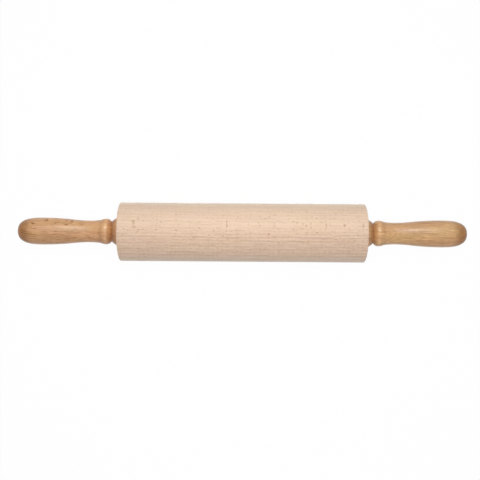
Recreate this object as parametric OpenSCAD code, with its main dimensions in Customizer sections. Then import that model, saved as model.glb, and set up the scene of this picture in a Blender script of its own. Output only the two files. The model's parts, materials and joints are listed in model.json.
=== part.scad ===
// Rolling pin with a free-running barrel.
// A steel axle runs through a bored beech barrel on two shielded ball bearings,
// and a turned and lacquered handle is glued on each end of the axle.
// The axle lies along X, with the origin at the middle of the barrel, and +Z is up.

/* [Barrel] */
// Length of the barrel
barrel_l = 250; // [180:1:400]
// Diameter of the barrel
barrel_d = 60; // [45:0.5:90]
// Rounding of the barrel's end edges
barrel_edge_r = 1; // [0.4:0.1:4]
// Bore through the barrel, between the bearing seats
barrel_bore_d = 14; // [13:0.5:17]
// Lead-in chamfer at the mouth of each bearing seat
seat_chamfer = 0.4; // [0.1:0.1:1]

/* [Handle] */
// Length of a handle, from the foot's face to the tip
handle_l = 104; // [90:1:140]
// Diameter of the foot, where it faces the barrel
foot_d = 30; // [26:0.2:36]
// Rounding of the foot's edge
foot_edge_r = 0.5; // [0.2:0.1:1.5]
// Length of the foot, from its face to the groove
foot_l = 8.2; // [6:0.2:14]
// How far the foot's cone swells above a straight one
foot_bulge = 0.6; // [0.1:0.1:1]
// Diameter at the bottom of the groove
groove_d = 20.2; // [17:0.2:22]
// Diameter of the bead
bead_d = 26.4; // [24:0.1:30]
// Length from the groove to the bead's crest
bead_l = 5.4; // [4:0.2:9]
// Length of the bead's far side, from its crest to the corner with the hollow
bead_tail_l = 5.2; // [4:0.2:7]
// Share of the fall from crest to neck that comes before the corner
bead_tail_share = 0.57; // [0.3:0.01:0.65]
// Diameter of the neck
neck_d = 22.2; // [18:0.1:23.5]
// Length from the bead's crest to the neck
neck_l = 16.4; // [12:0.2:26]
// Largest diameter of the grip
grip_d = 27.6; // [24:0.1:36]
// Share of the neck-to-grip length that is hollow, before it turns to swell
hollow_share = 0.34; // [0.2:0.02:0.8]
// Length of the nose, from the grip's largest diameter to the tip
nose_l = 26.2; // [18:0.2:34]
// Squareness of the nose: 2 is an ellipse, and more is blunter
nose_power = 2.8; // [2:0.1:3.5]

/* [Axle] */
// Length of axle glued inside each handle
axle_grip_l = 60; // [40:1:75]
// Chamfer on the axle's ends
axle_chamfer = 0.8; // [0.3:0.1:1.5]
// Number of glue flutes round each end of the axle
flute_count = 12; // [6:1:20]
// Depth of a glue flute
flute_depth = 0.35; // [0.2:0.05:0.6]
// Length of the fluted stretch at each end
flute_l = 45; // [20:1:50]
// Drill point left past the end of the axle in a handle's bore
bore_spare_l = 2; // [1:0.5:5]
// Thickness of the washer between a bearing and a handle
washer_t = 1; // [0.5:0.1:2]
// How far the washer's edge stays inside the edge of the bearing's inner ring
washer_inset = 0.35; // [0.3:0.05:0.8]

/* [Bearing] */
// Bore of the bearing, which also sets the axle
bearing_bore = 8; // [7:0.5:9]
// Outer diameter of the bearing
bearing_od = 22; // [21:0.5:24]
// Width of the bearing
bearing_w = 7; // [6.8:0.1:9]
// Diameter of a ball
ball_d = 3.97; // [3.4:0.01:4.2]
// Number of balls in a bearing
ball_count = 7; // [5:1:7]
// Depth of the raceways below the rings' lands
race_depth = 0.54; // [0.3:0.02:0.8]
// Radius of a raceway's groove, as a share of the ball's diameter
race_share = 0.52; // [0.51:0.01:0.55]
// Chamfer on the rings' edges
ring_chamfer = 0.3; // [0.1:0.05:0.5]
// Thickness of the shields' sheet
shield_t = 0.3; // [0.2:0.05:0.4]
// Depth of a shield below the bearing's face
shield_inset = 0.35; // [0.1:0.05:0.4]
// Height of the shield's pressed rim
shield_rim_l = 0.9; // [0.6:0.1:1.1]
// Step from the outer ring's land out to the shield's seat
shield_step = 0.65; // [0.4:0.05:0.9]
// Thickness of the cage's sheet
cage_t = 0.35; // [0.2:0.05:0.4]
// Width of the cage's ribbon, across the bearing's radius
cage_w = 1.8; // [1.4:0.1:2]
// Diameter of a cage rivet
rivet_d = 0.6; // [0.4:0.1:0.8]
// Diameter of a rivet's head
rivet_head_d = 1.1; // [1:0.1:1.3]
// Height of a rivet's head
rivet_head_h = 0.25; // [0.1:0.05:0.35]

/* [Clearances] */
// Radial gap where a ring is pressed or slid on its seat
press_gap = 0.01; // [0:0.01:0.03]
// Radial gap between the balls and each raceway
ball_gap = 0.015; // [0.01:0.005:0.04]
// Gap between a ball and its cage pocket
pocket_gap = 0.1; // [0.05:0.05:0.15]
// Radial gap that the glue fills between the axle and a handle
glue_gap = 0.05; // [0.02:0.01:0.15]
// Radial gap between the axle and a washer
washer_gap = 0.1; // [0.05:0.05:0.3]
// Gap between a shield's edge and the inner ring
shield_gap = 0.2; // [0.1:0.05:0.3]
// Gap round a rivet's shank
rivet_gap = 0.02; // [0.01:0.01:0.05]

/* [Hidden] */
$fn = 96;

// Colours, as the finished pieces show them
RAW_BEECH = [0.90, 0.79, 0.69];
LACQUERED_BEECH = [0.79, 0.62, 0.46];
AXLE_STEEL = [0.62, 0.63, 0.64];
BEARING_STEEL = [0.74, 0.75, 0.76];
SHEET_STEEL = [0.80, 0.79, 0.74];

// Points in each curved stretch of an outline
curve_steps = 14;
edge_steps = 6;
// A cut reaches this far past the face that it opens
past = 1;

// Places along the axle
barrel_end = barrel_l / 2;
bearing_x = barrel_end - bearing_w / 2;
foot_x = barrel_end + washer_t;
axle_d = bearing_bore - 2 * press_gap;
axle_end = foot_x + axle_grip_l;

// Sizes inside the bearing, round its pitch circle
pitch_r = (bearing_bore + bearing_od) / 4;
ball_r = ball_d / 2;
race_r = race_share * ball_d;
inner_race_r = pitch_r - ball_r - ball_gap;
outer_race_r = pitch_r + ball_r + ball_gap;
inner_land_r = inner_race_r + race_depth;
outer_land_r = outer_race_r - race_depth;
shield_seat_r = outer_land_r + shield_step;
shield_floor = bearing_w / 2 - shield_inset - shield_rim_l;
pocket_r = ball_r + pocket_gap;
ball_pitch = 360 / ball_count;

// Points on an arc about [cx, cy], from angle a0 to angle a1
function arc(cx, cy, r, a0, a1, steps) =
    [for (i = [0:steps]) let (a = a0 + (a1 - a0) * i / steps) [cx + r * cos(a), cy + r * sin(a)]];

// Radius of the arc that leaves a crest level and drops by fall over run
function arc_radius(run, fall) = (run * run + fall * fall) / (2 * fall);

// Angle that the same arc turns through
function arc_turn(run, fall) = 2 * atan(fall / run);

// Points from p to q on an arc that swells above the straight line between them by bulge
function bowed(p, q, bulge, steps) =
    let (
        chord = norm(q - p),
        r = (chord * chord / 4 + bulge * bulge) / (2 * bulge),
        up = [p[1] - q[1], q[0] - p[0]] / chord,
        centre = (p + q) / 2 - up * (r - bulge),
        half = asin(chord / (2 * r)),
        middle = atan2(up[1], up[0])
    )
    arc(centre[0], centre[1], r, middle + half, middle - half, steps);

// Outline of a handle as [distance from the foot's face, radius].
// The foot is a bowed cone with a rounded edge, and it meets the bead at the groove. The bead
// ends at a corner, where a hollow arc leads on to the neck. Another hollow arc and a swelling
// arc, each tangent to the last, lead on to the grip, and the nose is a superellipse.
function handle_outline() =
    let (
        foot_r = foot_d / 2, groove_r = groove_d / 2, crest_r = bead_d / 2,
        neck_r = neck_d / 2, grip_r = grip_d / 2,
        crest_x = foot_l + bead_l, neck_x = crest_x + neck_l, grip_x = handle_l - nose_l,
        e = foot_edge_r,
        // Bead: up from the groove to its crest, then down to the corner
        bead_arc = arc_radius(bead_l, crest_r - groove_r),
        bead_turn = arc_turn(bead_l, crest_r - groove_r),
        tail_fall = (crest_r - neck_r) * bead_tail_share,
        tail_arc = arc_radius(bead_tail_l, tail_fall),
        tail_turn = arc_turn(bead_tail_l, tail_fall),
        // Corner to neck
        hollow_l = neck_l - bead_tail_l,
        hollow_fall = crest_r - neck_r - tail_fall,
        hollow_arc = arc_radius(hollow_l, hollow_fall),
        hollow_turn = arc_turn(hollow_l, hollow_fall),
        // Neck to grip: two arcs whose radii add up to what the rise needs
        rise_x = grip_x - neck_x,
        both_arcs = arc_radius(rise_x, grip_r - neck_r),
        neck_arc = both_arcs * hollow_share,
        swell_arc = both_arcs - neck_arc,
        swell_turn = arc_turn(rise_x, grip_r - neck_r)
    )
    concat(
        arc(e, foot_r - e, e, 180, 90, edge_steps),
        bowed([e, foot_r], [foot_l, groove_r], foot_bulge, curve_steps),
        arc(crest_x, crest_r - bead_arc, bead_arc, 90 + bead_turn, 90, curve_steps),
        arc(crest_x, crest_r - tail_arc, tail_arc, 90, 90 - tail_turn, curve_steps),
        arc(neck_x, neck_r + hollow_arc, hollow_arc, 270 - hollow_turn, 270, curve_steps),
        arc(neck_x, neck_r + neck_arc, neck_arc, 270, 270 + swell_turn, curve_steps),
        arc(grip_x, grip_r - swell_arc, swell_arc, 90 + swell_turn, 90, curve_steps),
        [for (i = [1:2 * curve_steps])
            let (a = 90 - 90 * i / (2 * curve_steps))
            [grip_x + nose_l * pow(cos(a), 2 / nose_power), grip_r * pow(sin(a), 2 / nose_power)]]
    );

// Outline of the barrel as [distance from its middle, radius], with rounded end edges
function barrel_outline() =
    let (r = barrel_d / 2, e = barrel_edge_r)
    concat(
        [[-barrel_end, 0]],
        arc(-barrel_end + e, r - e, e, 180, 90, edge_steps),
        arc(barrel_end - e, r - e, e, 90, 0, edge_steps),
        [[barrel_end, 0]]
    );

// Turns an outline of [distance, radius] points about X
module turned(outline) {
    rotate([0, 90, 0])
        rotate_extrude()
            polygon([for (p = outline) [p[1], p[0]]]);
}

// Lays a piece that was drawn about Z along X, with its middle at x
module at_x(x) {
    translate([x, 0, 0])
        rotate([0, 90, 0])
            children();
}

// The left end is the right end turned about Z
module on_left() {
    rotate([0, 0, 180])
        children();
}

module round_balls() {
    for (i = [0:ball_count - 1])
        rotate([0, 0, i * ball_pitch])
            translate([pitch_r, 0, 0])
                children();
}

module between_balls() {
    rotate([0, 0, ball_pitch / 2])
        round_balls()
            children();
}

// Barrel: bored through, with a stepped seat for a bearing at each end
module bearing_seat() {
    seat_r = bearing_od / 2 + press_gap;
    at_x(bearing_x)
        cylinder(h = bearing_w, r = seat_r, center = true);
    at_x(barrel_end + past / 2)
        cylinder(h = past, r = seat_r + seat_chamfer, center = true);
    at_x(barrel_end - seat_chamfer / 2)
        cylinder(h = seat_chamfer, r1 = seat_r, r2 = seat_r + seat_chamfer, center = true);
}

module barrel() {
    color(RAW_BEECH)
        difference() {
            turned(barrel_outline());
            at_x(0)
                cylinder(h = barrel_l, d = barrel_bore_d, center = true);
            bearing_seat();
            on_left()
                bearing_seat();
        }
}

// Axle: a bright rod with chamfered ends and glue flutes
module flutes() {
    side = flute_depth * sqrt(2);
    for (i = [0:flute_count - 1])
        rotate([360 * i / flute_count, 0, 0])
            translate([axle_end + past - (flute_l + past) / 2, 0, axle_d / 2])
                rotate([45, 0, 0])
                    cube([flute_l + past, side, side], center = true);
}

module axle() {
    r = axle_d / 2;
    color(AXLE_STEEL)
        difference() {
            turned([
                [-axle_end, 0], [-axle_end, r - axle_chamfer], [-axle_end + axle_chamfer, r],
                [axle_end - axle_chamfer, r], [axle_end, r - axle_chamfer], [axle_end, 0]
            ]);
            flutes();
            on_left()
                flutes();
        }
}

// Handle: turned from one piece, with a blind bore for the axle
module handle() {
    bore_r = axle_d / 2 + glue_gap;
    bore_l = axle_grip_l + bore_spare_l;
    color(LACQUERED_BEECH)
        translate([foot_x, 0, 0])
            difference() {
                turned(concat([[0, 0]], handle_outline()));
                turned([[-past, 0], [-past, bore_r], [bore_l, bore_r], [bore_l + bore_r / 2, 0]]);
            }
}

module washer() {
    color(SHEET_STEEL)
        at_x(barrel_end + washer_t / 2)
            difference() {
                cylinder(h = washer_t, r = inner_land_r - washer_inset, center = true);
                cylinder(h = washer_t + past, r = axle_d / 2 + washer_gap, center = true);
            }
}

// Bearing: each piece is drawn about Z and laid in the seat
module outer_ring() {
    h = bearing_w / 2;
    r = bearing_od / 2;
    c = ring_chamfer;
    color(BEARING_STEEL)
        at_x(bearing_x)
            rotate_extrude()
                difference() {
                    polygon([
                        [outer_land_r, -shield_floor], [shield_seat_r, -shield_floor],
                        [shield_seat_r, -h], [r - c, -h], [r, c - h], [r, h - c], [r - c, h],
                        [shield_seat_r, h], [shield_seat_r, shield_floor], [outer_land_r, shield_floor]
                    ]);
                    translate([outer_race_r - race_r, 0])
                        circle(r = race_r);
                }
}

module inner_ring() {
    h = bearing_w / 2;
    r = bearing_bore / 2;
    c = ring_chamfer;
    color(BEARING_STEEL)
        at_x(bearing_x)
            rotate_extrude()
                difference() {
                    polygon([
                        [r, c - h], [r + c, -h], [inner_land_r - c, -h], [inner_land_r, c - h],
                        [inner_land_r, h - c], [inner_land_r - c, h], [r + c, h], [r, h - c]
                    ]);
                    translate([inner_race_r + race_r, 0])
                        circle(r = race_r);
                }
}

module balls() {
    color(BEARING_STEEL)
        at_x(bearing_x)
            round_balls()
                sphere(d = ball_d);
}

// One pressed half of the cage: a flat ribbon that bulges over each ball
module cage_half() {
    rise = pocket_r + cage_t;
    difference() {
        intersection() {
            difference() {
                cylinder(h = rise + past, r = pitch_r + cage_w / 2);
                translate([0, 0, -past])
                    cylinder(h = rise + 3 * past, r = pitch_r - cage_w / 2);
            }
            union() {
                cylinder(h = cage_t, r = pitch_r + cage_w);
                round_balls()
                    sphere(r = rise);
            }
        }
        round_balls()
            sphere(r = pocket_r);
        between_balls()
            cylinder(h = 4 * cage_t, d = rivet_d + 2 * rivet_gap, center = true);
    }
}

module cage_inner_half() {
    color(SHEET_STEEL)
        at_x(bearing_x)
            rotate([180, 0, 0])
                cage_half();
}

module cage_outer_half() {
    color(SHEET_STEEL)
        at_x(bearing_x)
            cage_half();
}

// Rivets through both halves, each with a coned head on either side
module cage_rivets() {
    color(BEARING_STEEL)
        at_x(bearing_x)
            between_balls() {
                cylinder(h = 2 * cage_t, d = rivet_d, center = true);
                for (side = [0, 180])
                    rotate([side, 0, 0])
                        translate([0, 0, cage_t])
                            cylinder(h = rivet_head_h, d1 = rivet_head_d, d2 = rivet_d);
            }
}

// Shield: a pressed disc whose rim stands on the outer ring's step
module shield() {
    rim_r = shield_seat_r - press_gap;
    edge_r = inner_land_r + shield_gap;
    top = bearing_w / 2 - shield_inset;
    t = shield_t;
    color(SHEET_STEEL)
        rotate_extrude()
            polygon([
                [rim_r - t, shield_floor], [rim_r, shield_floor], [rim_r, top - t / 2], [rim_r - t / 2, top],
                [edge_r + 2 * t, top], [edge_r, top - t], [edge_r, top - 2 * t], [edge_r + t / 2, top - 2 * t],
                [edge_r + 2.4 * t, top - t], [rim_r - t, top - t]
            ]);
}

module outer_shield() {
    at_x(bearing_x)
        shield();
}

module inner_shield() {
    at_x(bearing_x)
        rotate([180, 0, 0])
            shield();
}

barrel();
axle();
on_left() handle();  // left_handle
handle();  // right_handle
on_left() washer();  // left_washer
washer();  // right_washer
on_left() outer_ring();  // left_outer_ring
outer_ring();  // right_outer_ring
on_left() inner_ring();  // left_inner_ring
inner_ring();  // right_inner_ring
on_left() balls();  // left_balls
balls();  // right_balls
on_left() cage_inner_half();  // left_cage_inner_half
cage_inner_half();  // right_cage_inner_half
on_left() cage_outer_half();  // left_cage_outer_half
cage_outer_half();  // right_cage_outer_half
on_left() cage_rivets();  // left_cage_rivets
cage_rivets();  // right_cage_rivets
on_left() inner_shield();  // left_inner_shield
inner_shield();  // right_inner_shield
on_left() outer_shield();  // left_outer_shield
outer_shield();  // right_outer_shield
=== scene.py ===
# %% [markdown]
# A rolling pin whose barrel turns on ball bearings. The barrel is bare beech, sanded and left dry,
# and the two turned handles are beech under a clear satin lacquer. Every piece comes from the packed
# model as it is, so this lesson is about wood: how one solid pattern of rings, rays and fibres can
# be cut by a lathe and still look right from every side.

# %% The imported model
import bpy
import json
import numpy as np
from math import cos, radians, sin
from mathutils import Matrix, Vector
from typing import NamedTuple


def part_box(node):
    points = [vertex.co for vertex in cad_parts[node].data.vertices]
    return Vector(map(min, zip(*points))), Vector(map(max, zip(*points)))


MM = 1000.0  # millimetres in a metre

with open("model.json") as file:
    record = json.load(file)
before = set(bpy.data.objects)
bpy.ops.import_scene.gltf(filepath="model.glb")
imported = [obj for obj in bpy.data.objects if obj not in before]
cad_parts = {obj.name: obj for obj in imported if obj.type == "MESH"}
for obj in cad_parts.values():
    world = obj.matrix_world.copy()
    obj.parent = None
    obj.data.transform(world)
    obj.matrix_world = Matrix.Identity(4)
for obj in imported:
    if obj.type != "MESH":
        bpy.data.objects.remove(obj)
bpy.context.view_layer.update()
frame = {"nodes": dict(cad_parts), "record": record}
nodes = frame["nodes"]


# %% [markdown]
# The lacquer on the handles has to know where their groove lies, between the foot and the bead. Its
# place could be typed in, but then it would stay behind when the handle's outline changed. Here it
# is read off the mesh: each vertex has a place along the axis and a distance from it, and the groove
# is where that distance is least near the foot. Vertices close to the axis belong to the bore.

# %% Sizes read off the meshes
PAST_FOOT = 3.0 / MM  # from the foot's face, where the search starts
BEFORE_WAIST = 20.0 / MM  # from the foot's face, where it ends
PAST_BORE = 6.0 / MM  # from the axis


def outline(name):
    """Places along the axis and distances from it, vertex by vertex: |x| and the length of (y, z)."""
    mesh = nodes[name].data
    points = np.zeros(3 * len(mesh.vertices), np.float32)
    mesh.vertices.foreach_get("co", points)
    points = points.reshape(-1, 3)
    return np.abs(points[:, 0]), np.hypot(points[:, 1], points[:, 2])


barrel_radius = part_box("barrel")[1].z
handle_low, handle_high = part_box("right_handle")
foot_face = handle_low.x
tip = handle_high.x
along, radius = outline("right_handle")
near_foot = (along > foot_face + PAST_FOOT) & (along < foot_face + BEFORE_WAIST) & (radius > PAST_BORE)
groove_x = float(along[near_foot][np.argmin(radius[near_foot])])
print("barrel radius", round(MM * barrel_radius, 1), "mm, groove at", round(MM * groove_x, 3), "mm")


# %% [markdown]
# A long lens from straight above sees the pin as a catalogue does. A lens could be guessed, but the
# ends of a round barrel bulge in a picture, the more so the nearer the camera is, and that gives its
# distance. The camera hangs a little off the middle and is turned by under half a degree, because
# the pin lies so in its picture.

# %% Camera
PICTURE_SIDE = 480
PIN_PIXEL = (242.4, 232.5)  # where the pin's middle falls in the picture
FOCAL_PIXELS = 728.5  # focal length
RADII_AWAY = 24.99  # distance, in radii of the barrel
ROLL = radians(0.42)
SENSOR = 36.0


def hang_camera():
    """Hangs the camera above the pin, looking down -Z. At the pin a pixel covers the distance over
    the focal length, and the camera steps aside by as many pixels as the pin is off the middle."""
    data = bpy.data.cameras.new("camera")
    data.sensor_width = SENSOR
    data.lens = SENSOR * FOCAL_PIXELS / PICTURE_SIDE
    camera = bpy.data.objects.new("camera", data)
    bpy.context.scene.collection.objects.link(camera)
    distance = RADII_AWAY * barrel_radius
    pixel = distance / FOCAL_PIXELS
    middle = PICTURE_SIDE / 2
    aside = Vector(((middle - PIN_PIXEL[0]) * pixel, (PIN_PIXEL[1] - middle) * pixel, distance))
    camera.rotation_euler = (0, 0, ROLL)
    camera.location = Matrix.Rotation(ROLL, 3, "Z") @ aside
    bpy.context.scene.camera = camera
    return camera


camera = hang_camera()
print("lens", round(camera.data.lens, 2), "mm at", round(camera.location.z, 3), "m")


# %% [markdown]
# Shader nodes read better as sums. An Amount stands for one socket, and Python's operators on it
# add Math nodes, in both orders, so that 1 - ring works. A few short methods say what operators
# can't: the whole part and the rest of a number, one part of a vector, and another output of the
# same node.

# %% Sums on sockets
class Amount:
    """A number, vector or colour that changes over the surface: one output socket of a finish."""

    def __init__(self, finish, socket):
        self.finish = finish
        self.socket = socket

    def math(self, operation, *values):
        inputs = dict(enumerate(values))
        return self.finish.node("ShaderNodeMath", {"operation": operation}, inputs)

    def __add__(self, other):
        return self.math("ADD", self, other)

    def __radd__(self, other):
        return self.math("ADD", other, self)

    def __sub__(self, other):
        return self.math("SUBTRACT", self, other)

    def __rsub__(self, other):
        return self.math("SUBTRACT", other, self)

    def __mul__(self, other):
        return self.math("MULTIPLY", self, other)

    def __rmul__(self, other):
        return self.math("MULTIPLY", other, self)

    def __truediv__(self, other):
        return self.math("DIVIDE", self, other)

    def __rtruediv__(self, other):
        return self.math("DIVIDE", other, self)

    def __pow__(self, other):
        return self.math("POWER", self, other)

    def __rpow__(self, other):
        return self.math("POWER", other, self)

    def __abs__(self):
        return self.math("ABSOLUTE", self)

    def whole(self):
        return self.math("FLOOR", self)

    def rest(self):
        return self.math("FRACT", self)

    def part(self, axis):
        """X, Y or Z of a vector."""
        return self.finish.node("ShaderNodeSeparateXYZ", inputs={0: self}, output=axis)

    def beside(self, name):
        """Another output of the node that this one comes from."""
        return Amount(self.finish, self.socket.node.outputs[name])


# %% [markdown]
# A material is a tree of nodes, and one method makes any node in it. The settings come first,
# because they decide which sockets a node has, then the values or links of its sockets, and the
# method gives back one output as an Amount. The world's light is made the same way.

# %% One method for every other node
class Finish:
    """A material in the making, or the world's light."""

    def __init__(self, name, datablock=None):
        self.material = datablock or bpy.data.materials.new(name)
        self.material.use_nodes = True
        self.tree = self.material.node_tree
        self.tree.nodes.clear()

    def node(self, kind, settings=None, inputs=None, output=0):
        """Adds a node, sets its settings first, then feeds its sockets, and gives one output."""
        made = self.tree.nodes.new(kind)
        for name, value in (settings or {}).items():
            setattr(made, name, value)
        for name, value in (inputs or {}).items():
            self.feed(self.socket(made.inputs, name), value)
        if made.outputs:
            return Amount(self, self.socket(made.outputs, output))

    def socket(self, sockets, name):
        """A socket by its number, or by its name among those that the settings leave in use."""
        if isinstance(name, int):
            return sockets[name]
        return next(one for one in sockets if one.name == name and one.enabled)

    def feed(self, socket, value):
        if isinstance(value, Amount):
            self.tree.links.new(value.socket, socket)
        else:
            socket.default_value = value

    def surface(self, shader):
        """Ends the material with its shader."""
        self.node("ShaderNodeOutputMaterial", inputs={"Surface": shader})
        print(self.material.name, "is made of", len(self.tree.nodes), "nodes")
        return self.material

    def principled(self, inputs):
        """Ends the material with one Principled shader."""
        return self.surface(self.node("ShaderNodeBsdfPrincipled", inputs=inputs))


# %% [markdown]
# Every finish here starts from Object coordinates in millimetres, so that its sizes can be checked
# with a ruler. Noise can be drawn out along an axis by measuring the place in longer steps there,
# so one function gives long fibres, round clouds and fine lines. All noise lies round 0.5.

# %% Helpers for places and noise
NOISE_MIDDLE = 0.5
ACROSS = (0.0, 1.0, 1.0)  # leaves the part of a vector that lies across the pin's axis


def vectors(finish, operation, *values, output="Vector"):
    """One Vector Math node."""
    return finish.node("ShaderNodeVectorMath", {"operation": operation}, dict(enumerate(values)), output)


def object_place(finish, start=(0.0, 0.0, 0.0), turn=(0.0, 0.0, 0.0)):
    """Object coordinates in millimetres, turned about the origin and then moved by start."""
    place = finish.node("ShaderNodeTexCoord", output="Object")
    inputs = {"Vector": place, "Location": start, "Rotation": turn, "Scale": (MM,) * 3}
    return finish.node("ShaderNodeMapping", inputs=inputs)


def stretched(finish, place, sizes):
    """The place measured in steps of sizes, so that a pattern of size 1 gets those sizes."""
    return vectors(finish, "MULTIPLY", place, tuple(1.0 / size for size in sizes))


def clouds(finish, place, sizes, detail=2.0, output="Fac"):
    """Noise from 0 to 1 whose patches have the sizes given, in millimetres."""
    inputs = {"Vector": stretched(finish, place, sizes), "Scale": 1.0, "Detail": detail}
    return finish.node("ShaderNodeTexNoise", {"noise_dimensions": "3D"}, inputs, output)


# %% [markdown]
# A pattern ends up as a share from 0 to 1, and the share picks between two things: two numbers, two
# colours, or a colour and its tinted self. Noise becomes a share with a soft step. A Color Ramp node
# could do that too, but Map Range takes its ends as plain numbers, in millimetres where that helps.

# %% Helpers for shares, colours and bumps
def soft_step(finish, amount, start, end):
    """From 0 where the amount is at start to 1 where it is at end, smooth at both."""
    inputs = {"Value": amount, "From Min": start, "From Max": end}
    return finish.node("ShaderNodeMapRange", {"interpolation_type": "SMOOTHSTEP"}, inputs)


def between(low, high, share):
    """From low to high as the share goes from 0 to 1."""
    return low + (high - low) * share


def blended(finish, share, first, second, how="MIX"):
    """The first colour where the share is 0 and the second, laid on it as how says, where it is 1."""
    settings = {"data_type": "RGBA", "blend_type": how}
    inputs = {"Factor": share}
    for name, colour in (("A", first), ("B", second)):
        inputs[name] = colour if isinstance(colour, Amount) else (*colour, 1.0)
    return finish.node("ShaderNodeMix", settings, inputs, "Result")


def tinted(finish, colour, share, tint):
    """The colour, multiplied by the tint where the share is 1."""
    return blended(finish, share, colour, tint, "MULTIPLY")


def bumped(finish, height, strength, depth):
    """A normal that leans as if the surface rose by the height times the depth, in millimetres."""
    inputs = {"Strength": strength, "Distance": depth / MM, "Height": height}
    return finish.node("ShaderNodeBump", inputs=inputs)


# %% [markdown]
# Beech has three things to show: growth rings, rays and fibres. They could be painted on, but a
# lathe cuts through a solid. So all three are solid patterns in the wood's own axes, X along the
# grain, Y out from the tree's middle and Z across the rays, and the turned surface shows them as
# lines, dashes or ovals, as the cut happens to lie. No tree is quite straight, so noise bends the
# place a little before any pattern reads it: a wave over a hand's length and a ripple over a thumb's.

# %% How a board lies in the pin
WAVE_SIZES = (110.0, 40.0, 40.0)
RIPPLE_SIZES = (14.0, 9.0, 9.0)


class Board(NamedTuple):
    """Where the wood of one piece comes from: angles in degrees, lengths in millimetres."""

    lean: float  # turn of the board about the pin's axis
    pith: float  # from the pin's axis to the tree's middle
    ring: float  # width of a growth ring
    slope: float  # turn of the grain off the pin's axis
    start: tuple  # move of the patterns in the wood's axes, which picks the board
    wave: float  # reach of the slow bend
    ripple: float  # reach of the quick bend
    ray_size: float  # size of the rays and of their spacing, where 1 is usual
    ray_rarity: float  # power of each ray's chance to be dark, so more makes dark ones rarer
    short_share: float  # share of short streaks among the fibres


def wood_place(finish, board):
    """Object coordinates in millimetres, turned into the wood's axes and gently bent."""
    place = object_place(finish, board.start, (radians(board.lean), 0.0, radians(board.slope)))
    for sizes, reach in ((WAVE_SIZES, board.wave), (RIPPLE_SIZES, board.ripple)):
        bend = clouds(finish, place, sizes, detail=1.0, output="Color")
        bend = vectors(finish, "SUBTRACT", bend, (NOISE_MIDDLE,) * 3)
        bend = vectors(finish, "MULTIPLY", bend, (0.0, reach, reach))
        place = vectors(finish, "ADD", place, bend)
    return place


# %% [markdown]
# A growth ring is 2 to 3 mm wide and ends in a thin darker line, the wood of late summer. Rings
# could be circles from Blender's Wave node, but then all would be alike. Here the distance from the
# tree's middle is counted in rings. The whole part is a ring's number, which picks its strength, and
# the rest, raised to a power, is the line at its end. Noise added to the count bends the rings, and
# more noise breaks their lines.

# %% Growth rings
SLOW_RING_SIZES = (160.0, 14.0, 30.0)
SLOW_RING_REACH = 1.2  # in rings
QUICK_RING_SIZES = (16.0, 5.0, 5.0)
QUICK_RING_REACH = 0.3  # in rings
RING_SHARPNESS = 3.0  # the power
FAINTEST_RING = 0.4
BROKEN_RING_SIZES = (13.0, 2.2, 2.2)
BROKEN_RING_STEP = (0.35, 0.6)
BROKEN_RING = 0.3  # what is left of a line where it is broken


def rings(finish, place, board):
    """Darkness of the late wood: the rest of the count to a power, times two strengths."""
    from_pith = vectors(finish, "ADD", vectors(finish, "MULTIPLY", place, ACROSS), (0.0, board.pith, 0.0))
    distance = vectors(finish, "LENGTH", from_pith, output="Value")
    slow = clouds(finish, place, SLOW_RING_SIZES, detail=1.0)
    quick = clouds(finish, place, QUICK_RING_SIZES, detail=1.0)
    count = distance / board.ring + SLOW_RING_REACH * slow + QUICK_RING_REACH * quick
    settings = {"noise_dimensions": "1D"}
    chance = finish.node("ShaderNodeTexWhiteNoise", settings, {"W": count.whole()}, "Value")
    unbroken = soft_step(finish, clouds(finish, place, BROKEN_RING_SIZES), *BROKEN_RING_STEP)
    strength = count.rest() ** RING_SHARPNESS * between(FAINTEST_RING, 1.0, chance)
    return strength * between(BROKEN_RING, 1.0, unbroken)


# %% [markdown]
# Rays are sheets of tissue a few tenths of a millimetre thick and one or two high, which run straight
# out from the tree's middle. Where they come up edge on they show as short brown dashes along the
# grain, and where the lathe's cut lies along them, as faint flecks across it. They could be placed
# one by one, but along Y a ray is as good as endless, so a flat Voronoi pattern in X and Z gives one
# to each cell. A slow bend along Y keeps a ray from being cut twice in the same shape.

# %% Rays
RAY_CELL = (6.2, 1.0, 0.6)  # spacing along X and Z, and a Y that the flat pattern doesn't read
RAY_BEND_SIZES = (9.0, 6.0, 20.0)
RAY_BEND_X = 0.8  # in cells
RAY_BEND_Z = 1.3  # in cells
SMALLEST_RAY = 0.04  # in cells, from its middle to its rim
LARGEST_RAY = 0.40
LARGE_RAY_RARITY = 1.5
RAY_EDGE = 0.25
RAY_WEAR_SIZES = (2.0, 1.5, 1.5)
RAY_WEAR_STEP = (0.4, 0.6)
WORN_RAY = 0.2  # what is left of a ray where it is worn
FAINTEST_RAY = 0.15


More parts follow.
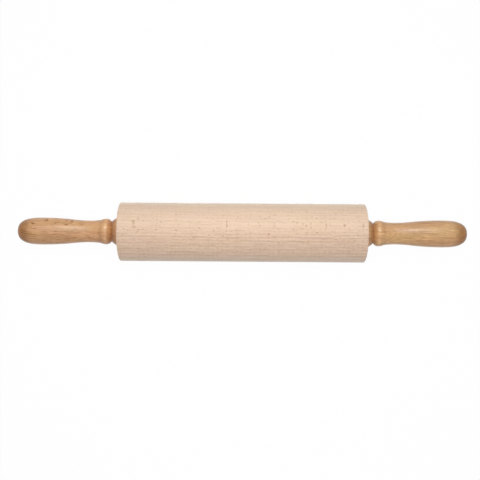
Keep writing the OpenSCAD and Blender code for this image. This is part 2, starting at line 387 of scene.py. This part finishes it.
def rays(finish, place, board):
    """Darkness of the rays, and the share of the spot that is ray. In each cell, 1 minus the
    distance over the ray's own size is above 0 inside it, and chance gives its size and depth."""
    bend = clouds(finish, place, RAY_BEND_SIZES, detail=1.0)
    cells = stretched(finish, place, tuple(board.ray_size * side for side in RAY_CELL))
    flat = {"X": cells.part("X") + RAY_BEND_X * bend, "Y": cells.part("Z") + RAY_BEND_Z * bend}
    settings = {"voronoi_dimensions": "2D", "feature": "F1"}
    inputs = {
        "Vector": finish.node("ShaderNodeCombineXYZ", inputs=flat),
        "Scale": 1.0,
        "Randomness": 1.0,
    }
    distance = finish.node("ShaderNodeTexVoronoi", settings, inputs, "Distance")
    chance = finish.node("ShaderNodeSeparateColor", inputs={0: distance.beside("Color")}, output="Red")
    size = between(SMALLEST_RAY, LARGEST_RAY, chance ** LARGE_RAY_RARITY)
    inside = soft_step(finish, 1.0 - distance / size, 0.0, RAY_EDGE)
    unworn = soft_step(finish, clouds(finish, place, RAY_WEAR_SIZES, detail=1.0), *RAY_WEAR_STEP)
    depth = between(FAINTEST_RAY, 1.0, chance.beside("Green") ** board.ray_rarity)
    return inside * between(WORN_RAY, 1.0, unworn) * depth, inside


# %% [markdown]
# The rest is fibre, which shows as streaks along the grain. One noise would make them all of one
# size, so three are added, from half a millimetre wide to as wide as a match, and a share of short
# ones stands for the pores that the cut opens.

# %% Fibres
FINE_SIZES = (8.0, 0.45, 0.45)
FINE_SHARE = 0.36
MIDDLE_SIZES = (14.0, 0.9, 0.9)
MIDDLE_SHARE = 0.36
COARSE_SIZES = (50.0, 2.4, 2.4)
COARSE_SHARE = 0.28
SHORT_SIZES = (3.0, 0.8, 0.8)


def fibres(finish, place, board):
    """Streaks along the grain, from 0 to 1 round 0.5: a sum of three noises, and short ones."""
    fine = clouds(finish, place, FINE_SIZES)
    middle = clouds(finish, place, MIDDLE_SIZES)
    coarse = clouds(finish, place, COARSE_SIZES)
    long = FINE_SHARE * fine + MIDDLE_SHARE * middle + COARSE_SHARE * coarse
    short = clouds(finish, place, SHORT_SIZES)
    return long + board.short_share * (short - long)


# %% [markdown]
# The wood's colour starts as one pale tone. Slow clouds shift it between a yellower and a pinker
# beech, and the side of the board that lies nearer the tree's middle is denser and so darker. That
# side also lies away from the lamps, so its tint is partly painted shade on that side of the pin. A
# single noise could do both, but then every pink patch would be dark. The rings, the streaks and the
# rays go on top, all of them stronger on the dense side. Fibres that end at the surface soak up
# light, so the end grain is darker.

# %% Tones of a wood
HUE_SIZES = (55.0, 9.0, 9.0)
HUE_STEP = (0.3, 0.7)
DENSE_AND_SHADED_STEP = (3.0, -14.0)  # in millimetres along Y, from open wood to dense wood in painted shade
END_STEP = (0.0, 0.75)


class Tones(NamedTuple):
    """The colours of one wood, as red, green and blue in linear light, and how strongly each
    pattern shows. Of the colours, end and dense_and_shaded are tints, which multiply the others;
    the second is partly painted shade on the side away from the lamps."""

    yellow: tuple
    pink: tuple
    late: tuple
    ray: tuple
    end: tuple
    dense_and_shaded: tuple
    ring_show: float
    ray_show: float
    fibre_show: float
    end_show: float


def plain_wood(finish, place, tones):
    """The colour before any pattern, and the share of dense wood, whose tint is partly painted
    shade on the side away from the lamps.
    """
    hue = soft_step(finish, clouds(finish, place, HUE_SIZES, detail=3.0), *HUE_STEP)
    # The dense side's tint is partly painted shade on the side away from the lamps.
    dense_and_shaded = soft_step(finish, place.part("Y"), *DENSE_AND_SHADED_STEP)
    return tinted(finish, blended(finish, hue, tones.yellow, tones.pink), dense_and_shaded, tones.dense_and_shaded), dense_and_shaded


def end_grain(finish):
    """0 where the surface runs along the grain and 1 where it cuts straight across it."""
    normal = finish.node("ShaderNodeTexCoord", output="Normal")
    return soft_step(finish, abs(normal.part("X")), *END_STEP)


# %% [markdown]
# One function makes the whole wood, and the barrel and both handles share it, because they are one
# kind of tree cut three ways. Streaks multiply the colour, as they are the same wood, only more or
# less dense. Late wood and rays are laid over it, as they are tissues with a colour of their own.

# %% The whole wood
RINGS_BY_DENSITY = (0.5, 1.5)  # how strongly they show on open wood and on dense
STREAKS_BY_DENSITY = (0.85, 1.45)
RAYS_BY_DENSITY = (0.8, 1.2)
STREAK_WARMTH = (0.82, 1.06, 1.42)  # how far red, green and blue follow a streak
STREAK_REACH = 0.16  # how far the fibres may lie from their middle before a streak is at its full
STREAK_MIDDLE = 0.5


class Wood(NamedTuple):
    """A wood's colour, and the shares of its patterns, which the gloss and the bump use too."""

    colour: Amount
    ring: Amount
    fibre: Amount
    ray: Amount
    end: Amount


def beech(finish, board, tones):
    """The colour is tinted by streaks, blended towards the late wood and the rays by their
    darkness, and tinted again where the grain ends."""
    place = wood_place(finish, board)
    colour, dense_and_shaded = plain_wood(finish, place, tones)
    ring = rings(finish, place, board)
    shown = ring * tones.ring_show * between(*RINGS_BY_DENSITY, dense_and_shaded)
    colour = blended(finish, shown, colour, tones.late)
    fibre = fibres(finish, place, board)
    gain = STREAK_MIDDLE / STREAK_REACH * between(*STREAKS_BY_DENSITY, dense_and_shaded)
    streak = STREAK_MIDDLE + gain * (fibre - NOISE_MIDDLE)
    reach = [STREAK_REACH * tones.fibre_show * warmth for warmth in STREAK_WARMTH]
    dark = tuple(1.0 - one for one in reach)
    pale = tuple(1.0 + one for one in reach)
    colour = tinted(finish, colour, 1.0, blended(finish, streak, dark, pale))
    darkness, ray = rays(finish, place, board)
    shown = darkness * tones.ray_show * between(*RAYS_BY_DENSITY, dense_and_shaded)
    colour = blended(finish, shown, colour, tones.ray)
    end = end_grain(finish)
    colour = tinted(finish, colour, end * tones.end_show, tones.end)
    return Wood(colour, ring, fibre, ray, end)


# %% [markdown]
# The barrel is sanded and has neither oil nor lacquer. Dry wood has hardly any gloss, because light
# scatters among its open fibres, and for the same reason it stays pale where it turns away from the
# eye. A Diffuse shader would go too dark there, so the Principled one gets a warm sheen, and only a
# trace of specular. Its fibres can just be felt, so the bump is a few hundredths of a millimetre.

# %% Bare beech
BARREL_BOARD = Board(
    lean=14.0, pith=85.0, ring=3.1, slope=0.0, start=(31.0, 0.0, 0.0), wave=1.6, ripple=0.6,
    ray_size=0.75, ray_rarity=1.0, short_share=0.25,
)
BARREL_TONES = Tones(
    yellow=(0.899, 0.673, 0.486),
    pink=(0.894, 0.661, 0.495),
    late=(0.62, 0.42, 0.30),
    ray=(0.54, 0.30, 0.165),
    end=(0.93, 0.90, 0.87),
    # The dense tint is partly painted shade on the side away from the lamps.
    dense_and_shaded=(0.915, 0.89, 0.90),
    ring_show=0.85,
    ray_show=0.9,
    fibre_show=0.86,
    end_show=0.8,
)
BARE_ROUGHNESS = 0.52
BARE_ROUGHNESS_SWING = 0.1
BARE_FIBRE_RISE = 0.6
BARE_RING_SINK = 0.3
BARE_RAY_RISE = 0.2


def bare_beech(name, board, tones):
    """The barrel: sanded wood with no lacquer, dull, its fibres just felt."""
    finish = Finish(name)
    wood = beech(finish, board, tones)
    height = BARE_FIBRE_RISE * wood.fibre - BARE_RING_SINK * wood.ring + BARE_RAY_RISE * wood.ray
    swing = BARE_ROUGHNESS_SWING
    roughness = BARE_ROUGHNESS + swing * wood.fibre - swing * wood.ray + swing * wood.end
    return finish.principled({
        "Base Color": wood.colour,
        "Roughness": roughness,
        "Specular IOR Level": 0.12,
        "Sheen Weight": 0.9,
        "Sheen Roughness": 0.5,
        "Sheen Tint": (1.0, 0.93, 0.84, 1.0),
        "Normal": bumped(finish, height, strength=0.25, depth=0.06),
    })


barrel_beech = bare_beech("bare_beech", BARREL_BOARD, BARREL_TONES)


# %% [markdown]
# The handles are dipped in a clear satin lacquer and hung up to dry, nose down. It fills the pores
# and deepens the colour. Soft bands along the axis paint shade in the groove and over the foot,
# which the barrel shades, and in the hollow behind the bead, paint a highlight on the bead's crest,
# and make the wood darker and more orange towards the nose. Each of these could be a material of
# its own, but soft bands follow the turned shape and leave no seam. The places are measured from
# the groove and the tip, so they move with the handle's outline.

# %% Painted shade and highlight along the handles, and darker noses
# Painted shade in the groove and over the foot, which the barrel shades.
GROOVE_SHADE_START = groove_x - 7.5 / MM
GROOVE_SHADE_X = groove_x - 1.4 / MM  # where the painted shade is darkest
GROOVE_SHADE_END = groove_x + 0.6 / MM
GROOVE_SHADE_TINT = (0.63, 0.48, 0.33)
# Painted highlight on the bead's crest.
CREST_X = groove_x + 4.8 / MM
CREST_HIGHLIGHT_REACH = 2.6 / MM
CREST_HIGHLIGHT_TINT = (1.14, 1.21, 1.27)
# Painted shade in the hollow behind the bead.
HOLLOW_X = groove_x + 10.1 / MM
HOLLOW_SHADE_REACH = 4.0 / MM
HOLLOW_SHADE_TINT = (0.91, 0.89, 0.86)
# Darker and more orange towards the nose.
NOSE_DARK_START = tip - 19.0 / MM
NOSE_DARK_END = tip - 6.0 / MM
NOSE_DARK_TINT = (0.60, 0.475, 0.305)


def shade_highlight_and_nose_bands(finish, colour):
    """The wood's colour with four bands along the axis, the same on both handles: painted shade
    in the groove and over the foot, a painted highlight on the bead's crest, painted shade in the
    hollow behind the bead, and darker, more orange wood towards the nose.
    """
    along = abs(finish.node("ShaderNodeTexCoord", output="Object").part("X"))
    # Painted shade in the groove and over the foot.
    groove_shade = soft_step(finish, along, GROOVE_SHADE_START, GROOVE_SHADE_X) * soft_step(finish, along, GROOVE_SHADE_END, GROOVE_SHADE_X)
    colour = tinted(finish, colour, groove_shade, GROOVE_SHADE_TINT)
    # Painted highlight on the bead's crest.
    crest_highlight = soft_step(finish, abs(along - CREST_X), CREST_HIGHLIGHT_REACH, 0.0)
    colour = tinted(finish, colour, crest_highlight, CREST_HIGHLIGHT_TINT)
    # Painted shade in the hollow behind the bead.
    hollow_shade = soft_step(finish, abs(along - HOLLOW_X), HOLLOW_SHADE_REACH, 0.0)
    colour = tinted(finish, colour, hollow_shade, HOLLOW_SHADE_TINT)
    # Darker and more orange towards the nose.
    nose_dark = soft_step(finish, along, NOSE_DARK_START, NOSE_DARK_END)
    return tinted(finish, colour, nose_dark, NOSE_DARK_TINT)


# The span of the painted shade in the groove and over the foot.
print("lacquer pools from", round(MM * GROOVE_SHADE_START, 1), "to", round(MM * GROOVE_SHADE_END, 1), "mm")


# %% [markdown]
# Satin lacquer has a soft gloss of its own. The wood's roughness could be lowered instead, but then
# its fibres would glitter, and under a lacquer they don't. So a coat with some roughness lies smooth
# over the wood, which keeps a bump, weaker than on the barrel because its pores are filled.

# %% Lacquered beech
LACQUER_ROUGHNESS = 0.45
LACQUER_ROUGHNESS_SWING = 0.1
LACQUER_FIBRE_RISE = 0.5
LACQUER_RING_SINK = 0.2


def lacquered_beech(name, board, tones):
    """A handle: the same wood, deepened by a clear satin lacquer that fills its pores."""
    finish = Finish(name)
    wood = beech(finish, board, tones)
    height = LACQUER_FIBRE_RISE * wood.fibre - LACQUER_RING_SINK * wood.ring
    return finish.principled({
        "Base Color": shade_highlight_and_nose_bands(finish, wood.colour),
        "Roughness": LACQUER_ROUGHNESS + LACQUER_ROUGHNESS_SWING * wood.fibre,
        "Specular IOR Level": 0.25,
        "Coat Weight": 0.5,
        "Coat Roughness": 0.3,
        "Normal": bumped(finish, height, strength=0.2, depth=0.05),
    })


# %% [markdown]
# The two handles are turned from different boards, so they aren't given one material. The left one
# has large, dark rays, which come up edge on in its upper third as short dashes. Turning the board
# about the pin's axis moves the dashes round the handle, and moving its start picks others.

# %% The left handle
LEFT_BOARD = Board(
    lean=52.0, pith=70.0, ring=2.6, slope=-0.5, start=(15.0, 6.0, 6.2), wave=3.0, ripple=1.2,
    ray_size=1.8, ray_rarity=2.0, short_share=0.1,
)
LEFT_TONES = Tones(
    yellow=(0.742, 0.423, 0.190),
    pink=(0.742, 0.398, 0.204),
    late=(0.50, 0.245, 0.11),
    ray=(0.35, 0.125, 0.008),
    end=(0.62, 0.54, 0.44),
    # The dense tint is partly painted shade on the side away from the lamps.
    dense_and_shaded=(0.70, 0.675, 0.70),
    ring_show=0.9,
    ray_show=1.9,
    fibre_show=1.8,
    end_show=0.3,
)
left_beech = lacquered_beech("left_beech", LEFT_BOARD, LEFT_TONES)


# %% [markdown]
# The right handle comes from yellower wood. Its rays are small and faint, its streaks are strong,
# and its grain runs off the axis by a degree and a half. All of that is values, so the finish needs
# no code of its own.

# %% The right handle
RIGHT_BOARD = Board(
    lean=75.0, pith=60.0, ring=2.8, slope=1.5, start=(90.0, 5.0, 2.0), wave=3.5, ripple=1.2,
    ray_size=1.0, ray_rarity=2.0, short_share=0.1,
)
RIGHT_TONES = Tones(
    yellow=(0.75, 0.455, 0.205),
    pink=(0.678, 0.376, 0.183),
    late=(0.49, 0.255, 0.11),
    ray=(0.32, 0.14, 0.02),
    end=(0.62, 0.54, 0.44),
    # The dense tint is partly painted shade on the side away from the lamps.
    dense_and_shaded=(0.91, 0.89, 0.89),
    ring_show=0.9,
    ray_show=0.9,
    fibre_show=2.6,
    end_show=0.3,
)
right_beech = lacquered_beech("right_beech", RIGHT_BOARD, RIGHT_TONES)


# %% [markdown]
# Steels are told apart by what made them: a die, a grinding wheel or a press. Most of these marks
# are circles round the axis. They could come from a Wave node, but noise read at the place along the
# axis and the distance from it is the same all the way round, and its circles are as uneven as real
# ones.

# %% Metal and circles
def metal(finish, share, tones, roughness, more=None):
    """Bare metal whose colour goes from the first of its tones to the second with the share."""
    colour = blended(finish, share, *tones)
    inputs = {"Base Color": colour, "Metallic": 1.0, "Roughness": roughness}
    return finish.principled({**inputs, **(more or {})})


def ring_place(finish):
    """The place along the axis and the distance from it, in millimetres, as X and Y."""
    place = object_place(finish)
    out = vectors(finish, "LENGTH", vectors(finish, "MULTIPLY", place, ACROSS), output="Value")
    return finish.node("ShaderNodeCombineXYZ", inputs={"X": place.part("X"), "Y": out})


# %% [markdown]
# The axle is bright bar, drawn through a die that leaves fine lines along it. They are noise drawn
# out along X, 30 mm long and a seventh of a millimetre wide, in the colour, the gloss and the bump.

# %% Steel of the axle
DRAWN_SIZES = (30.0, 0.15, 0.15)
DRAWN_TONES = ((0.44, 0.45, 0.46), (0.56, 0.57, 0.58))
DRAWN_ROUGHNESS = (0.22, 0.38)


def drawn_steel(name):
    """Bright drawn bar: fine lines along the axle from the die."""
    finish = Finish(name)
    lines = clouds(finish, object_place(finish), DRAWN_SIZES)
    normal = bumped(finish, lines, strength=0.2, depth=0.02)
    return metal(finish, lines, DRAWN_TONES, between(*DRAWN_ROUGHNESS, lines), {"Normal": normal})


axle_steel = drawn_steel("axle_steel")


# %% [markdown]
# The bearings' rings, balls and rivets are hard, bright and nearly smooth. The wheel's circles are
# too shallow for a bump, so they only break up the gloss and the colour.

# %% Steel of the rings, balls and rivets
GROUND_SIZES = (0.12, 0.12, 1.0)
GROUND_TONES = ((0.58, 0.59, 0.60), (0.66, 0.67, 0.68))
GROUND_ROUGHNESS = (0.12, 0.26)


def ground_steel(name):
    """Ground and polished steel: fine circles left by the wheel."""
    finish = Finish(name)
    lines = clouds(finish, ring_place(finish), GROUND_SIZES)
    return metal(finish, lines, GROUND_TONES, between(*GROUND_ROUGHNESS, lines))


bearing_steel = ground_steel("bearing_steel")


# %% [markdown]
# Cages, shields and washers are pressed from sheet under a thin layer of zinc, which is cloudy and a
# little warm. Two noises share the work: round clouds for the zinc, and circles for the press.

# %% Steel of the cages, shields and washers
ZINC_TONES = ((0.56, 0.56, 0.54), (0.68, 0.66, 0.60))
ZINC_CLOUD_SIZES = (3.0, 3.0, 3.0)
PRESSED_SIZES = (0.3, 0.3, 1.0)
ZINC_ROUGHNESS = 0.25
ZINC_CLOUD_SWING = 0.12
PRESSED_SWING = 0.1


def zinc_steel(name):
    """Pressed sheet under thin zinc: cloudy, a little warm, with circles from the press."""
    finish = Finish(name)
    cloud = clouds(finish, object_place(finish), ZINC_CLOUD_SIZES, detail=3.0)
    lines = clouds(finish, ring_place(finish), PRESSED_SIZES)
    roughness = ZINC_ROUGHNESS + ZINC_CLOUD_SWING * cloud + PRESSED_SWING * lines
    return metal(finish, cloud, ZINC_TONES, roughness)


sheet_steel = zinc_steel("sheet_steel")


# %% [markdown]
# The three wooden pieces have finishes of their own. The steel ones could be listed too, but the
# record names a finish for each, so every steel piece takes that, and one added later finds its own.

# %% Each finish on its pieces
wood_of = {"barrel": barrel_beech, "left_handle": left_beech, "right_handle": right_beech}
steel_of = {"axle_steel": axle_steel, "bearing_steel": bearing_steel, "sheet_steel": sheet_steel}
for piece in frame["record"]["subparts"]:
    name = piece["node"]
    finish = wood_of.get(name) or steel_of[piece["material_slot"]]
    for slot in nodes[name].material_slots:
        slot.material = finish
    print(name, "is", finish.name)


# %% [markdown]
# The pin lies in plain white light from all round, under two soft boxes. The key box hangs nearly
# overhead and lights the wood. The strip lights nothing and shows only as gloss, further back on
# the lacquer than the wood is brightest. One lamp could do both, but then its place would be a
# compromise. A white room also fills the picture's background, so the camera and mirrors see full
# white there, whatever the level at which it lights the pin.

# %% Lights
WHITE = (1.0, 1.0, 1.0, 1.0)
ROOM_LEVEL = 0.38
LAMP_DISTANCE = 0.85
LAMP_LENGTH = 0.5
LAMP_SPREAD = radians(70)


def seen_directly(finish):
    """1 where the camera, a mirror or clear glass looks, and 0 where it is light that falls."""
    camera_ray = finish.node("ShaderNodeLightPath", output="Is Camera Ray")
    return camera_ray + camera_ray.beside("Is Glossy Ray") + camera_ray.beside("Is Transmission Ray")


def room_light(level):
    """Plain white from all round at the level given, and full white where it is seen directly."""
    world = bpy.data.worlds.new("room")
    bpy.context.scene.world = world
    finish = Finish("room", world)
    strength = between(level, 1.0, seen_directly(finish))
    light = finish.node("ShaderNodeBackground", inputs={"Color": WHITE, "Strength": strength})
    finish.node("ShaderNodeOutputWorld", inputs={"Surface": light})
    print("room light at", level, "of full white")


def soft_box(name, tilt, width, power):
    """A lamp face over the pin, tilted off straight up towards +Y. Its grid keeps the light within
    the spread, so that it fades towards the pin's ends."""
    data = bpy.data.lights.new(name, "AREA")
    data.spread = LAMP_SPREAD
    data.shape = "RECTANGLE"
    data.size = LAMP_LENGTH
    data.size_y = width
    data.energy = power
    lamp = bpy.data.objects.new(name, data)
    bpy.context.scene.collection.objects.link(lamp)
    out = Vector((0.0, sin(tilt), cos(tilt)))
    lamp.location = out * LAMP_DISTANCE
    lamp.rotation_euler = out.to_track_quat("Z", "Y").to_euler()
    print(name, "lamp of", power, "W at", [round(place, 2) for place in lamp.location], "m")
    return lamp


room_light(ROOM_LEVEL)
key = soft_box("key", tilt=radians(11), width=0.55, power=0.87)
key.visible_glossy = False
strip = soft_box("strip", tilt=radians(36), width=0.22, power=1.0)
strip.visible_diffuse = False


# %% [markdown]
# The sheet under the pin has to look white and still carry the pin's shadow. More light would burn
# out the pale wood. So the sheet glows, but only where it is seen directly, with a little plain
# paint left in the mix for the shadow, and the light that it throws back on the pin stays plain.

# %% Floor
FLOOR_SIDE = 20.0
FLOOR_WHITE = 0.70
FLOOR_WHITE_SEEN = 0.98
FLOOR_GLOW = 0.975


def floor(level):
    """A wide white sheet under the pin."""
    side = FLOOR_SIDE
    mesh = bpy.data.meshes.new("floor")
    corners = [(-side, -side, level), (side, -side, level), (side, side, level), (-side, side, level)]
    mesh.from_pydata(corners, [], [(0, 1, 2, 3)])
    sheet = bpy.data.objects.new("floor", mesh)
    bpy.context.scene.collection.objects.link(sheet)
    finish = Finish("floor")
    seen = seen_directly(finish)
    white = between(FLOOR_WHITE, FLOOR_WHITE_SEEN, seen)
    colour = finish.node("ShaderNodeCombineColor", inputs={"Red": white, "Green": white, "Blue": white})
    paint = finish.node("ShaderNodeBsdfDiffuse", inputs={"Color": colour})
    glow = finish.node("ShaderNodeEmission", inputs={"Color": WHITE, "Strength": 1.0})
    shader = finish.node("ShaderNodeMixShader", inputs={0: FLOOR_GLOW * seen, 1: paint, 2: glow})
    mesh.materials.append(finish.surface(shader))
    print("floor at", round(MM * level, 1), "mm")


floor(-barrel_radius)
bpy.context.scene.view_settings.view_transform = "Standard"
